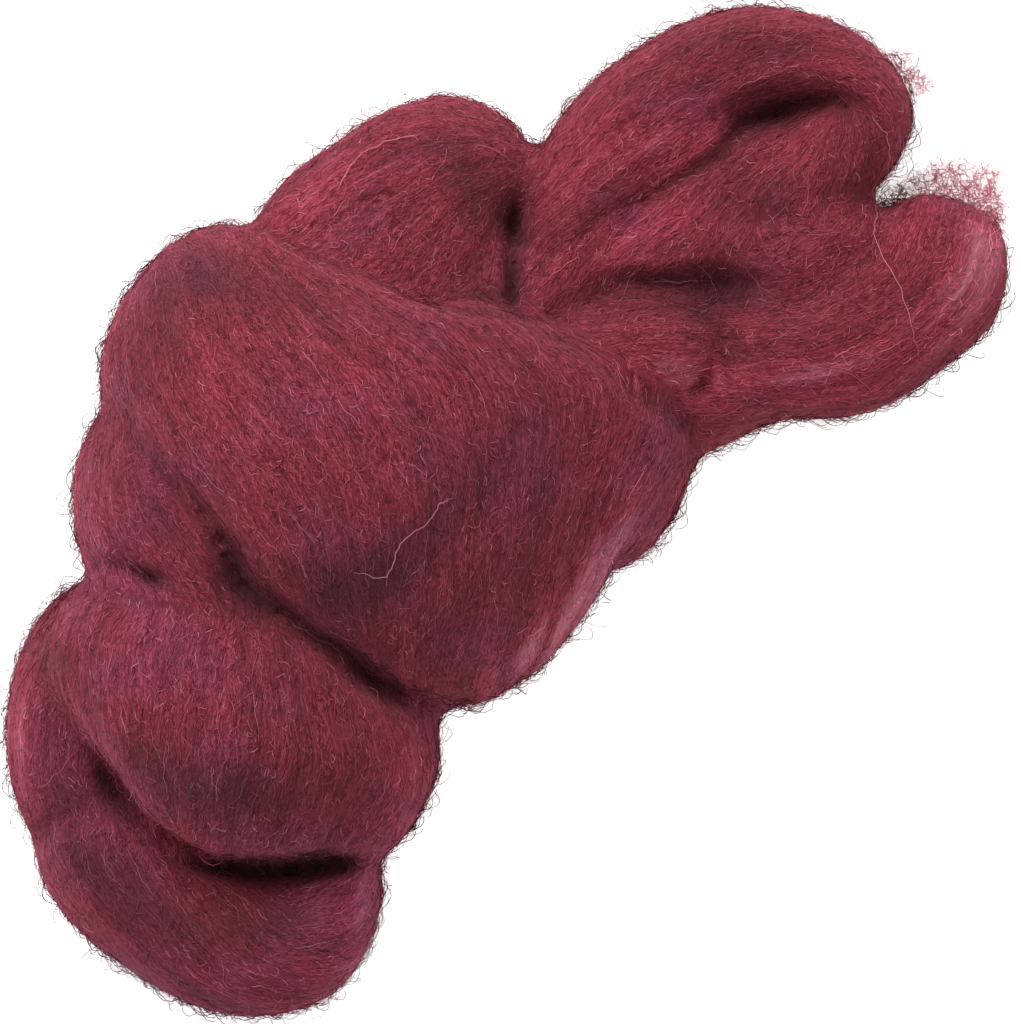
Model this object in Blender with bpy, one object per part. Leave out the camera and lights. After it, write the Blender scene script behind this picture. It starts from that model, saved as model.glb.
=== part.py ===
"""Wool roving hank: one length of combed wool top, folded and twisted on itself, lying on a flat surface.

The hank is one solid. Its turns are swept bands, each from a short table, with a row for each section.
Frame: X along the hank, Y across it, Z up, the origin on the surface under the middle of the hank's box.
"""

import math
from collections import namedtuple

import bpy
import bmesh
import numpy as np
from mathutils import Matrix

MM = 0.001  # the tables are in millimetres

# Driving dimensions, in millimetres
HANK_LENGTH = 304.0
HANK_WIDTH = 164.0
TABLE_ZERO = (1.8, 0.3, 0.0)  # where the tables' zero lies, which centres the hank's box
SECTION_STEP = 3.0  # distance between two sections of a band
SECTION_POINTS = 28  # points round a section
SECTION_SQUARENESS = 2.2  # 2 is an ellipse, more is boxier
FUSE_VOXEL = 2.5  # the bands are fused on a grid of this pitch
SMOOTH_PASSES = 4
KEPT_FACES = 0.195  # share of the fused mesh's faces that stay
FLOOR_BLOCK = 60.0  # height of the block that cuts the resting face flat

WOOL_RED = (0.235, 0.037, 0.055, 1.0)
WOOL_ROUGHNESS = 0.92

# x, y, z is the middle of a section, wide its size along the surface and thick its size through the band
Section = namedtuple("Section", "x y z wide thick")
# a band's thickness points away from the point over, which it is wound round
Band = namedtuple("Band", "over sections")

FLAT = (0.0, 0.0, -2000.0)  # a band that lies flat has its thickness along Z

# The broad wrap over the middle of the hank, from its far side over the top to its near side
MIDDLE_WRAP = Band(
    over=(-14.0, 5.0, 20.0),
    sections=(
        Section(-22, 18, 12, 50, 36),
        Section(-22, 42, 16, 54, 42),
        Section(-24, 55, 31, 65, 49),
        Section(-22, 47, 48, 66, 49),
        Section(-20, 29, 59, 72, 50),
        Section(-17, 8, 62, 87, 50),
        Section(-8, -14, 53, 95, 50),
        Section(-4, -31, 33, 96, 50),
        Section(-4, -28, 16, 92, 42),
        Section(-4, -8, 10, 80, 34),
    ),
)

# The near right corner of that wrap, where it fans out
WRAP_CORNER = Band(
    over=(10.0, 0.0, 14.0),
    sections=(
        Section(10, 6, 50, 40, 40),
        Section(18, -14, 49, 48, 42),
        Section(23, -32, 33, 56, 44),
        Section(26, -33, 16, 56, 42),
        Section(22, -14, 12, 46, 34),
    ),
)

# The band that shows beside it on the left and goes under both broad wraps
SIDE_WRAP = Band(
    over=(-34.0, 8.0, 10.0),
    sections=(
        Section(-44, 16, 12, 40, 34),
        Section(-50, 34, 16, 44, 40),
        Section(-55, 43, 29, 46, 44),
        Section(-61, 29, 46, 48, 44),
        Section(-60, 8, 48, 38, 42),
        Section(-57, -14, 38, 28, 36),
    ),
)

# The second broad wrap, narrow at its far end
LEFT_WRAP = Band(
    over=(-84.0, -8.0, 12.0),
    sections=(
        Section(-90, -2, 14, 26, 34),
        Section(-93, 13, 22, 28, 38),
        Section(-93, 15, 40, 42, 42),
        Section(-90, -3, 52, 59, 44),
        Section(-88, -22, 50, 64, 44),
        Section(-80, -41, 34, 53, 46),
        Section(-76, -39, 16, 48, 42),
        Section(-78, -20, 12, 44, 34),
    ),
)

# The upper band round the left end, which comes out from under the second wrap
END_BAND_UPPER = Band(
    over=FLAT,
    sections=(
        Section(-74, 14, 22, 38, 48),
        Section(-97, 17, 23, 42, 50),
        Section(-112, 12, 22, 43, 48),
        Section(-122, 2, 20, 42, 44),
        Section(-126, -8, 16, 38, 38),
        Section(-124, -24, 12, 34, 30),
    ),
)

# The lower band round the left end, which turns back under the second wrap
END_BAND_LOWER = Band(
    over=FLAT,
    sections=(
        Section(-104, -16, 14, 30, 34),
        Section(-122, -12, 18, 34, 42),
        Section(-132, -22, 21, 37, 47),
        Section(-134, -40, 22, 32, 48),
        Section(-127, -55, 22, 33, 48),
        Section(-114, -66, 21, 29, 47),
        Section(-99, -66, 20, 23, 44),
        Section(-87, -58, 18, 22, 40),
        Section(-76, -44, 16, 24, 36),
    ),
)

# The short fold behind the middle wrap, whose right end turns down
BACK_FOLD = Band(
    over=(18.0, 42.0, 0.0),
    sections=(
        Section(-8, 36, 40, 56, 46),
        Section(10, 39, 41, 62, 46),
        Section(26, 41, 36, 60, 44),
        Section(41, 43, 30, 53, 42),
        Section(50, 43, 17, 43, 40),
        Section(44, 42, 8, 40, 34),
        Section(24, 42, 7, 36, 28),
    ),
)

# The loop at the right end: out along its upper leg, round, and back along its lower leg
END_LOOP = Band(
    over=FLAT,
    sections=(
        Section(20, 2, 24, 30, 44),
        Section(40, 3, 24, 26, 46),
        Section(60, 12, 23, 32, 46),
        Section(84, 17, 22, 36, 46),
        Section(104, 17, 22, 34, 46),
        Section(120, 11, 22, 31, 46),
        Section(132, -4, 21, 30, 44),
        Section(132, -18, 20, 26, 42),
        Section(120, -21, 20, 28, 42),
        Section(104, -18, 20, 33, 42),
        Section(86, -15, 21, 36, 44),
        Section(66, -6, 22, 30, 46),
        Section(44, -4, 22, 28, 46),
    ),
)

# The small strand between the middle wrap and the loose end
THROAT_STRAND = Band(
    over=FLAT,
    sections=(
        Section(30, -4, 30, 18, 34),
        Section(42, -12, 33, 24, 36),
        Section(53, -22, 32, 27, 36),
        Section(62, -31, 25, 24, 34),
        Section(67, -38, 17, 18, 28),
    ),
)

# The loose end, which fans out from the throat
LOOSE_END = Band(
    over=FLAT,
    sections=(
        Section(34, -20, 18, 30, 40),
        Section(53, -30, 20, 36, 44),
        Section(71, -44, 20, 38, 44),
        Section(88, -53, 19, 43, 42),
        Section(107, -57, 18, 44, 40),
        Section(122, -58, 16, 42, 36),
        Section(138, -62, 12, 32, 28),
    ),
)

# What the wraps are wound over: the legs of the folded roving inside the hank
INNER_LEGS = Band(
    over=FLAT,
    sections=(
        Section(-120, -14, 22, 34, 46),
        Section(-92, -12, 25, 60, 50),
        Section(-52, -2, 25, 74, 52),
        Section(-5, 4, 32, 88, 66),
        Section(38, 2, 24, 66, 50),
        Section(66, -14, 19, 46, 42),
        Section(88, -33, 17, 40, 42),
        Section(114, -37, 15, 26, 34),
    ),
)

# A low turn under the left end, inside the lower band
LOW_TURN = Band(
    over=FLAT,
    sections=(
        Section(-122, -30, 3, 30, 22),
        Section(-108, -46, 3, 34, 22),
        Section(-84, -44, 3, 34, 22),
    ),
)

BANDS = (
    MIDDLE_WRAP,
    WRAP_CORNER,
    SIDE_WRAP,
    LEFT_WRAP,
    END_BAND_UPPER,
    END_BAND_LOWER,
    BACK_FOLD,
    END_LOOP,
    THROAT_STRAND,
    LOOSE_END,
    INNER_LEGS,
    LOW_TURN,
)


def clear_scene():
    for found in list(bpy.data.objects):
        bpy.data.objects.remove(found, do_unlink=True)


def spline_through(rows, steps):
    """A Catmull-Rom curve through the rows, with the given number of steps between each two."""
    rows = np.array(rows, float)
    first = 2 * rows[0] - rows[1]
    last = 2 * rows[-1] - rows[-2]
    held = np.vstack([first, rows, last])
    out = []
    for i in range(len(rows) - 1):
        a, b, c, d = held[i : i + 4]
        for t in np.linspace(0.0, 1.0, steps, endpoint=False):
            curve = 2 * b + (c - a) * t
            curve = curve + (2 * a - 5 * b + 4 * c - d) * t**2
            curve = curve + (3 * b - a - 3 * c + d) * t**3
            out.append(curve / 2)
    out.append(rows[-1])
    return np.array(out)


def even_sections(rows, step):
    """Sections of the smooth band through the rows, one every step along it."""
    fine = spline_through(rows, 24)
    legs = np.linalg.norm(np.diff(fine[:, :3], axis=0), axis=1)
    reach = np.concatenate([[0.0], np.cumsum(legs)])
    count = max(4, round(reach[-1] / step))
    wanted = np.linspace(0.0, reach[-1], count + 1)
    return wanted, np.array([np.interp(wanted, reach, column) for column in fine.T]).T


def unit(vector):
    return vector / max(np.linalg.norm(vector), 1e-9)


def end_rounding(reach, thick):
    """How much of its size a section keeps, so that both ends of a band are round."""
    radius = thick / 2
    from_end = np.minimum(reach, reach[-1] - reach)
    inner = np.clip(1 - from_end / radius, 0.0, 1.0)
    return np.sqrt(1 - inner**2)


def section_outline():
    """A unit section: across the band and through it."""
    turns = np.linspace(0.0, 2 * math.pi, SECTION_POINTS, endpoint=False)
    power = 2 / SECTION_SQUARENESS
    across = np.sign(np.cos(turns)) * np.abs(np.cos(turns)) ** power
    through = np.sign(np.sin(turns)) * np.abs(np.sin(turns)) ** power
    return across, through


def add_band(mesh, band):
    """Sweeps the section along the band and closes both ends in a point."""
    reach, rows = even_sections(band.sections, SECTION_STEP)
    middles = rows[:, :3] + TABLE_ZERO
    along = np.gradient(middles, axis=0)
    kept = end_rounding(reach, rows[:, 4])
    across_unit, through_unit = section_outline()
    rings = []
    for middle, way, row, share in list(zip(middles, along, rows, kept))[1:-1]:
        way = unit(way)
        out = middle - np.add(band.over, TABLE_ZERO)
        out = unit(out - way * np.dot(out, way))
        side = np.cross(way, out)
        half_wide = row[3] / 2 * share
        half_thick = row[4] / 2 * share
        ring = []
        for across, through in zip(across_unit, through_unit):
            point = middle + side * across * half_wide + out * through * half_thick
            ring.append(mesh.verts.new(point * MM))
        rings.append(ring)
    for near, far in zip(rings, rings[1:]):
        for i, vertex in enumerate(near):
            j = (i + 1) % SECTION_POINTS
            mesh.faces.new((vertex, near[j], far[j], far[i]))
    for tip, ring in ((middles[0], rings[0]), (middles[-1], rings[-1])):
        pole = mesh.verts.new(tip * MM)
        for i, vertex in enumerate(ring):
            mesh.faces.new((vertex, ring[(i + 1) % SECTION_POINTS], pole))


def make_floor_block():
    """The block under the surface, which cuts the hank's resting face flat."""
    mesh = bmesh.new()
    size = Matrix.Diagonal((2 * HANK_LENGTH * MM, 2 * HANK_WIDTH * MM, FLOOR_BLOCK * MM, 1.0))
    low = Matrix.Translation((0.0, 0.0, -FLOOR_BLOCK / 2 * MM))
    bmesh.ops.create_cube(mesh, size=1.0, matrix=low @ size)
    data = bpy.data.meshes.new("floor_block")
    mesh.to_mesh(data)
    mesh.free()
    block = bpy.data.objects.new("floor_block", data)
    block.hide_render = True
    block.display_type = "WIRE"
    bpy.context.scene.collection.objects.link(block)
    return block


def make_material():
    material = bpy.data.materials.new("burgundy_wool")
    material.use_nodes = True
    shader = material.node_tree.nodes["Principled BSDF"]
    shader.inputs["Base Color"].default_value = WOOL_RED
    shader.inputs["Roughness"].default_value = WOOL_ROUGHNESS
    shader.inputs["Metallic"].default_value = 0.0
    return material


def make_hank():
    mesh = bmesh.new()
    for band in BANDS:
        add_band(mesh, band)
    bmesh.ops.recalc_face_normals(mesh, faces=mesh.faces)
    data = bpy.data.meshes.new("roving_hank")
    mesh.to_mesh(data)
    mesh.free()
    data.materials.append(make_material())
    hank = bpy.data.objects.new("roving_hank", data)
    bpy.context.scene.collection.objects.link(hank)

    fuse = hank.modifiers.new("fuse", "REMESH")
    fuse.mode = "VOXEL"
    fuse.voxel_size = FUSE_VOXEL * MM
    fuse.use_smooth_shade = True

    soften = hank.modifiers.new("soften", "SMOOTH")
    soften.factor = 0.5
    soften.iterations = SMOOTH_PASSES

    thin_out = hank.modifiers.new("thin_out", "DECIMATE")
    thin_out.ratio = KEPT_FACES

    rest_flat = hank.modifiers.new("rest_flat", "BOOLEAN")
    rest_flat.operation = "DIFFERENCE"
    rest_flat.solver = "EXACT"
    rest_flat.object = make_floor_block()
    return hank


clear_scene()
make_hank()
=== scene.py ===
import math
from collections import namedtuple
from itertools import product

import bpy
import numpy as np
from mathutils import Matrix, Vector, noise
from mathutils.bvhtree import BVHTree


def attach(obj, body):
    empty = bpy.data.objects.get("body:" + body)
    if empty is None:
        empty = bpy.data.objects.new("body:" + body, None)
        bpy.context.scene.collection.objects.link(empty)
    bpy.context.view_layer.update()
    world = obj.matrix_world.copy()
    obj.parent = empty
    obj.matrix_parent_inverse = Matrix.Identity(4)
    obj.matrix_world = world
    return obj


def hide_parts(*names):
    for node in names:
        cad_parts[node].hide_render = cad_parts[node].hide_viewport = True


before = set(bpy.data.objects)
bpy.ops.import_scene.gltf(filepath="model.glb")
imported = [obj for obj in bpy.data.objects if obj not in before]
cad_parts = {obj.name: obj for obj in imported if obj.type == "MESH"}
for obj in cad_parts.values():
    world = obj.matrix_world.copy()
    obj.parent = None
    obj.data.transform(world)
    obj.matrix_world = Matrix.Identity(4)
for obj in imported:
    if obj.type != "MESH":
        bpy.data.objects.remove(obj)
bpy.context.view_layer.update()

# The wound hank
# One length of combed wool top, about as thick as a wrist, folded on itself and wound
# round the middle by hand. Nothing holds it but its own grip, and it lies flat where it rests.
MM = 0.001  # the hank is given in millimetres, and its meshes are made in metres
TABLE_ZERO = np.array([1.8, 0.3, 0.0])  # where the zero of the tables lies
SECTION_STEP = 2.0  # from one ring of a band to the next
SECTION_POINTS = 48  # round a ring
SECTION_SQUARENESS = 2.2  # 2 is an ellipse, and more is squarer
SECTION_CURVE = 24  # how many short steps the curve between two sections is measured in
END_SHARE = 0.02  # what is left of a band's size at its very ends
LEAST = 1e-9  # keeps a division by a length of nothing from failing

# over is what the band is wound round, lean the angle of its fibres to its own length in degrees, and
# combed the part of COMBED that its fibres follow, or nothing for a turn that the others cover. Its
# sections are rows of x, y, z, wide, thick: the middle, the size along the surface and the size through.
Turn = namedtuple("Turn", "over lean combed sections")
FLAT = (0.0, 0.0, -2000.0)  # so far below that the band lies level

TURNS = {
    "middle_wrap": Turn((-14, 5, 20), 20, "wrap", (
        (-22, 18, 12, 50, 36), (-22, 42, 16, 54, 42), (-25, 55, 31, 63, 49), (-22, 47, 48, 66, 49),
        (-20, 29, 59, 72, 50), (-17, 8, 62, 87, 50), (-8, -14, 53, 95, 50), (-3, -32, 33, 94, 50),
        (-4, -28, 16, 92, 42), (-4, -8, 10, 80, 34),
    )),
    "wrap_corner": Turn((10, 0, 14), 55, "wrap", (
        (10, 6, 50, 40, 40), (18, -14, 49, 48, 42), (23, -32, 33, 56, 44), (26, -33, 16, 56, 42),
        (22, -14, 12, 46, 34),
    )),
    "side_wrap": Turn((-34, 8, 10), 15, "side", (
        (-44, 16, 12, 40, 34), (-50, 34, 16, 44, 40), (-54, 41, 29, 46, 44), (-62, 29, 46, 50, 44),
        (-60, 8, 48, 38, 42), (-57, -14, 38, 28, 36),
    )),
    "left_wrap": Turn((-84, -8, 12), 53, "left", (
        (-90, -2, 14, 26, 34), (-93, 13, 22, 28, 38), (-92, 15, 40, 40, 42), (-88, -3, 52, 55, 44),
        (-85, -22, 50, 61, 44), (-76, -42.5, 34, 51, 44), (-74, -41, 16, 50, 39),
        (-78, -20, 12, 44, 34),
    )),
    "end_band_upper": Turn(FLAT, 0, "end", (
        (-74, 14, 22, 38, 48), (-97, 17, 23, 43, 50), (-112, 12, 22, 40.5, 48),
        (-121.5, 1.5, 20, 40, 44), (-126, -8, 16, 37, 38), (-124, -24, 12, 34, 30),
    )),
    "end_band_lower": Turn(FLAT, 0, "low", (
        (-104, -16, 14, 30, 34), (-124.5, -10.5, 19, 38.5, 43), (-132.3, -22, 21, 39, 47),
        (-133.5, -41, 22, 31.5, 48), (-125.5, -55.5, 22, 36, 48), (-113, -64, 21, 36, 47),
        (-99.5, -63, 20, 25.5, 44), (-88.5, -55.5, 18, 18.5, 40), (-76, -44, 16, 24, 36),
    )),
    "back_fold": Turn((18, 42, 0), 0, "back", (
        (-8, 36, 40, 56, 46), (10, 39, 41, 62, 46), (26, 40, 36, 61, 44), (41, 42, 30, 51.5, 42),
        (49, 42, 17, 41, 40), (44, 42, 8, 40, 34), (24, 42, 7, 36, 28),
    )),
    "end_loop": Turn(FLAT, 0, "loop", (
        (20, 2, 24, 30, 44), (40, 3, 24, 26, 46), (60, 12, 23, 32, 46), (84, 17, 22, 36, 46),
        (104, 16, 22, 33, 46), (119.5, 10.5, 22, 30, 46), (130.5, -4.5, 21, 29, 44),
        (131.5, -18.5, 20, 27, 42), (120, -21, 20, 28, 42), (104, -18, 20, 33, 42),
        (86, -15, 21, 36, 44), (66, -6, 22, 30, 46), (44, -4, 22, 28, 46),
    )),
    "throat_strand": Turn(FLAT, 0, "loose", (
        (30, -4, 30, 18, 34), (42, -12, 33, 24, 36), (53, -22, 32, 27, 36), (62, -31, 25, 24, 34),
        (67, -38, 17, 18, 28),
    )),
    "loose_end": Turn(FLAT, 0, "loose", (
        (34, -20, 18, 30, 40), (52.5, -33.5, 20, 39, 44), (71, -44, 20, 34, 44),
        (88, -53, 19, 44.5, 42), (107, -58, 18, 44, 40), (123, -61, 15, 39, 34),
        (136.5, -64.5, 11, 22, 22),
    )),
    "loop_fill": Turn(FLAT, 0, None, (
        (62, 4, 21, 24, 40), (84, 2, 21, 30, 42), (104, -1, 20, 30, 42), (119, -6, 18, 24, 38),
    )),
    "loop_web": Turn(FLAT, 0, "loose", (
        (58, -10, 22, 22, 38), (72, -19, 22, 26, 40), (88, -28, 22, 30, 40), (104, -35, 20, 30, 38),
        (117, -40, 16, 20, 30),
    )),
    "inner_legs": Turn(FLAT, 0, None, (
        (-120, -14, 22, 34, 46), (-92, -12, 25, 60, 50), (-52, -2, 25, 74, 52), (-5, 4, 32, 88, 66),
        (38, 2, 24, 66, 50), (66, -14, 19, 46, 42), (88, -33, 17, 40, 42), (114, -37, 15, 26, 34),
    )),
    "end_fill": Turn(FLAT, 0, None, (
        (-120, -20, 20, 28, 40), (-112, -36, 21, 26, 40), (-100, -48, 20, 24, 38),
        (-90, -52, 18, 20, 34),
    )),
    "notch_fill": Turn(FLAT, 0, None, (
        (-30, -36, 20, 22, 38), (-41, -41, 20, 21, 38), (-50, -42, 20, 20, 38),
        (-60, -40, 20, 20, 36),
    )),
    "throat_fill": Turn(FLAT, 0, None, (
        (28, -36, 20, 20, 40), (38, -41, 19, 21.5, 36), (48, -44, 17, 17, 32),
        (55, -45, 15, 14, 28),
    )),
    "low_turn": Turn(FLAT, 0, None, (
        (-122, -30, 3, 30, 22), (-108, -46, 3, 34, 22), (-84, -44, 3, 34, 22),
    )),
}


def unit(vectors):
    """The vectors at a length of 1."""
    return vectors / np.maximum(np.linalg.norm(vectors, axis=-1, keepdims=True), LEAST)


def dot(one, other):
    """The dot product of each two vectors, with the last axis kept."""
    return (one * other).sum(-1, keepdims=True)


def spline_through(rows, steps):
    """A Catmull-Rom curve through the rows, with the given number of steps between each two."""
    rows = np.array(rows, float)
    held = np.vstack([2 * rows[0] - rows[1], rows, 2 * rows[-1] - rows[-2]])
    share = np.linspace(0.0, 1.0, steps, endpoint=False)[:, None]
    pieces = []
    for before, start, end, after in zip(held, held[1:], held[2:], held[3:]):
        bend = (2 * before - 5 * start + 4 * end - after) * share**2
        bend = bend + (3 * start - before - 3 * end + after) * share**3
        pieces.append((2 * start + (end - before) * share + bend) / 2)
    return np.vstack([*pieces, rows[-1:]])


def even_sections(rows, step):
    """The smooth band through the rows, cut into equal lengths."""
    fine = spline_through(rows, SECTION_CURVE)
    legs = np.linalg.norm(np.diff(fine[:, :3], axis=0), axis=1)
    reach = np.concatenate([[0.0], np.cumsum(legs)])
    wanted = np.linspace(0.0, reach[-1], round(reach[-1] / step) + 1)
    return wanted, np.array([np.interp(wanted, reach, column) for column in fine.T]).T


def sweep(turn):
    """The band's rings, rounded off at its ends, and the way it runs at each ring."""
    reach, rows = even_sections(turn.sections, SECTION_STEP)
    middle = rows[:, :3] + TABLE_ZERO
    way = unit(np.gradient(middle, axis=0))
    out = middle - (np.array(turn.over) + TABLE_ZERO)
    out = unit(out - way * dot(out, way))
    side = np.cross(way, out)
    from_end = np.minimum(reach, reach[-1] - reach)
    kept = np.sqrt(1 - np.clip(1 - from_end / (rows[:, 4] / 2), 0.0, 1.0) ** 2)
    half = rows[:, 3:5] / 2 * np.maximum(kept, END_SHARE)[:, None]
    angles = np.linspace(0.0, 2 * math.pi, SECTION_POINTS, endpoint=False)
    power = 2 / SECTION_SQUARENESS
    across = np.sign(np.cos(angles)) * np.abs(np.cos(angles)) ** power
    through = np.sign(np.sin(angles)) * np.abs(np.sin(angles)) ** power
    rings = middle[:, None] + side[:, None] * (across[:, None] * half[:, None, 0:1])
    rings = rings + out[:, None] * (through[:, None] * half[:, None, 1:2])
    return rings, way


def ring_faces(rings, points, first):
    """Quads between rings of points, for vertices that start at first."""
    ring = np.arange(rings - 1)[:, None] * points
    here = np.arange(points)[None, :]
    there = (here + 1) % points
    quads = np.stack([ring + here, ring + there, ring + points + there, ring + points + here], -1)
    return (quads + first).reshape(-1, 4)


def placed(name, data):
    """A new object in the scene, made of the data."""
    made = bpy.data.objects.new(name, data)
    bpy.context.scene.collection.objects.link(made)
    return made


def mesh_object(name, points, faces):
    """A smooth mesh object made of points in millimetres."""
    data = bpy.data.meshes.new(name)
    data.from_pydata((np.asarray(points) * MM).tolist(), [], [list(map(int, face)) for face in faces])
    data.validate()
    data.shade_smooth()
    return placed(name, data)


def evaluated_mesh(made, name):
    """A new mesh of the object with its modifiers applied."""
    depsgraph = bpy.context.evaluated_depsgraph_get()
    data = bpy.data.meshes.new_from_object(made.evaluated_get(depsgraph))
    data.name = name
    return data


def read_mesh(data):
    """The points in millimetres, the triangles and the normals of a mesh."""
    points = np.empty(len(data.vertices) * 3, np.float32)
    data.vertices.foreach_get("co", points)
    data.calc_loop_triangles()
    triangles = np.empty(len(data.loop_triangles) * 3, np.int32)
    data.loop_triangles.foreach_get("vertices", triangles)
    normals = np.empty(len(data.vertices) * 3, np.float32)
    data.vertices.foreach_get("normal", normals)
    shapes = [kept.reshape(-1, 3) for kept in (points, triangles, normals)]
    return shapes[0].astype(float) / MM, shapes[1], shapes[2].astype(float)


swept = {name: sweep(turn) for name, turn in TURNS.items()}
band_points, band_faces, shown_faces, face_band, face_ring = [], [], [], [], []
for number, (turn, (rings, _)) in enumerate(zip(TURNS.values(), swept.values())):
    first = sum(map(len, band_points))
    count = len(rings)
    quads = ring_faces(count, SECTION_POINTS, first)
    band_points.append(rings.reshape(-1, 3))
    last = first + (count - 1) * SECTION_POINTS
    caps = [list(range(first, first + SECTION_POINTS))[::-1], list(range(last, last + SECTION_POINTS))]
    band_faces += quads.tolist() + caps
    if turn.combed:
        shown_faces += quads.tolist()
        face_band += [number] * len(quads)
        face_ring += np.repeat(np.arange(count - 1), SECTION_POINTS).tolist()
band_points = np.vstack(band_points)
face_band = np.array(face_band)
face_ring = np.array(face_ring)

FLOOR_BLOCK = ((-300, 300), (-200, 200), (-60, 0))  # x, y and z of what cuts the hank flat
BLOCK_FACES = ((0, 1, 3, 2), (4, 6, 7, 5), (0, 4, 5, 1), (2, 3, 7, 6), (0, 2, 6, 4), (1, 5, 7, 3))
fused = mesh_object("fused_turns", band_points, band_faces)
block = mesh_object("floor_cut", list(product(*FLOOR_BLOCK)), BLOCK_FACES)

# the size of a voxel and the rounds of smoothing, for each remesh
FUSED_TURNS = (1.7, 4)
CUT_TURNS = (1.2, 1)
DRAWN_TURNS = (1.45, 2)


def remesh_and_soften(made, name, voxel, rounds):
    """Adds a voxel remesh to the object, and rounds of smoothing after it."""
    fuse = made.modifiers.new(name, "REMESH")
    fuse.mode = "VOXEL"
    fuse.voxel_size = voxel * MM
    soften = made.modifiers.new(name + "_soft", "SMOOTH")
    soften.factor = 0.5
    soften.iterations = rounds


EYE = np.array([0.8, -26.8, 1225.0])  # the camera, straight above the hank
SEEN_LEVEL = 25.0  # the height at which the tables say what shows where
LINE_STEPS = 6  # how many straight legs a line has between two rows of its table
DRAWN_HEIGHT = 25.0  # what is lower than this is drawn in less


def as_seen(points):
    """x, y of where each point shows from the camera, on the level at which the hank was measured."""
    share = (EYE[2] - SEEN_LEVEL) / (EYE[2] - points[:, 2:])
    return EYE[:2] + (points[:, :2] - EYE[:2]) * share - TABLE_ZERO[:2]


# Where two turns press together the wool is drawn in. A crease is sharp and a hollow is soft, and both have
# rows of x, y, wide, deep: where it shows from above, how far it reaches to each side, how far it goes in.
# The depth of each also sets how much shade is painted into the wool there.
CREASES = {
    "side_under_middle": (
        (-52, 64, 3, 2.5), (-54, 55, 3, 5), (-55, 43, 3, 7), (-55, 35, 3.5, 8), (-56, 24, 4, 9),
        (-58, 15, 7, 11), (-61, 8, 9, 14), (-61, 1, 8, 13),
    ),
    "left_under_side": (
        (-83, 37, 3, 4), (-80, 33, 3, 8), (-78, 29, 3, 10), (-76, 24, 4, 11), (-74, 20, 3, 6),
    ),
    "left_under_middle": (
        (-61, 1, 7, 12), (-58, -8, 6, 10), (-57, -15, 6, 10), (-55, -23, 6, 11), (-55, -32, 7, 12),
        (-54, -38, 6, 9), (-52, -41, 4, 3),
    ),
    "left_over_lower": (
        (-121, -30, 3, 2), (-119, -33, 3, 8), (-116, -37, 4, 16), (-110, -44, 5, 18),
        (-104, -50, 5, 20), (-98, -55, 5, 22), (-93, -59, 4, 18), (-91, -61, 3, 6),
    ),
    "left_over_upper": (
        (-101, 28, 3, 1), (-110, 14, 3, 2), (-116, 4, 3, 2), (-119, -4, 6, 9), (-121, -11, 6, 10),
        (-121, -18, 4, 2), (-121, -25, 3, 1),
    ),
    "back_against_loop": (
        (58, 26, 5, 3), (54, 26, 6, 9), (51, 24, 7, 13), (48, 20, 6, 12), (46, 19, 4, 10),
        (40, 13, 4, 14), (36, 9, 4, 12), (34, 7, 3, 5),
    ),
    "back_under_middle": (
        (21, 27, 3, 1), (23, 23, 3, 3), (25, 19, 3, 4), (30, 13, 3, 5), (34, 8, 3, 6), (36, 3, 3, 3),
        (37, -1, 3, 2),
    ),
    "loop_inside": (
        (132, -21, 4, 1), (131, -16, 5, 5), (128, -11, 6, 9), (122, -6, 7, 11), (117, -3, 8, 12),
        (112, -1, 8, 11), (107, 0, 6, 9), (101, -2, 5, 6), (96, -1, 4, 6), (90, 1, 3.5, 6),
        (84, 3, 3.5, 5), (77, 5, 3, 4), (70, 8, 3, 3.5), (62, 9, 3, 3.5), (53, 10, 3, 2),
    ),
    "knot": ((59, -37, 3, 2), (56, -39, 4, 7), (53, -40, 3, 3)),
}
HOLLOWS = {
    "loop_over_throat": (
        (39, 0, 4, 2), (47, -2, 5, 2), (56, -6, 6, 4), (63, -11, 6, 5), (69, -18, 7, 5),
        (75, -24, 8, 8), (79, -28, 7, 6), (86, -33, 5, 1),
    ),
    "throat_edge": (
        (49, -8, 4, 1), (58, -14, 4, 2.5), (65, -21, 4, 4), (68, -27, 5, 5), (68, -34, 5, 5),
        (66, -40, 4, 3), (60, -43, 4, 1),
    ),
    "throat_under_middle": (
        (37, -1, 4, 2.5), (40, -10, 4, 3), (42, -18, 4, 3), (42, -26, 4, 4), (44, -36, 5, 4),
        (45, -43, 5, 4),
    ),
    "loop_groove": ((73, 24, 3, 0.5), (86, 21, 3, 1.5), (98, 19, 3, 1.5), (108, 15, 3, 0.5)),
    "back_groove": ((17, 54, 3, 1), (25, 54, 3, 2.5), (32, 52, 3, 2.5), (38, 50, 3, 1)),
    "end_band_join": ((-146, -1, 5, 3), (-140, -1, 5, 3), (-132, -4, 5, 2), (-124, -6, 4, 1)),
    "loose_end_fold": ((103, -26, 4, 1), (91, -14, 5, 3), (97, -12, 5, 2)),
}


def sharp(near):
    """A profile that comes to a point on the line."""
    return near**2


def soft(near):
    """A profile that is round on the line."""
    return near**2 * (3 - 2 * near)


def along_lines(places, table, profile):
    """For each place, the fourth number of the table's rows, less the further it is from their lines."""
    found = np.zeros((len(table), len(places)))
    for rows, values in zip(table.values(), found):
        line = spline_through(rows, LINE_STEPS)
        for start, end in zip(line, line[1:]):
            leg = end[:2] - start[:2]
            share = np.clip((places - start[:2]) @ leg / (leg @ leg), 0, 1)[:, None]
            x, y, wide, size = (start * (1 - share) + end * share).T
            gap = np.hypot(places[:, 0] - x, places[:, 1] - y)
            value = size * profile(np.clip(1 - gap / wide, 0, 1))
            values[:] = np.where(np.abs(value) > np.abs(values), value, values)
    return found


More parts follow.
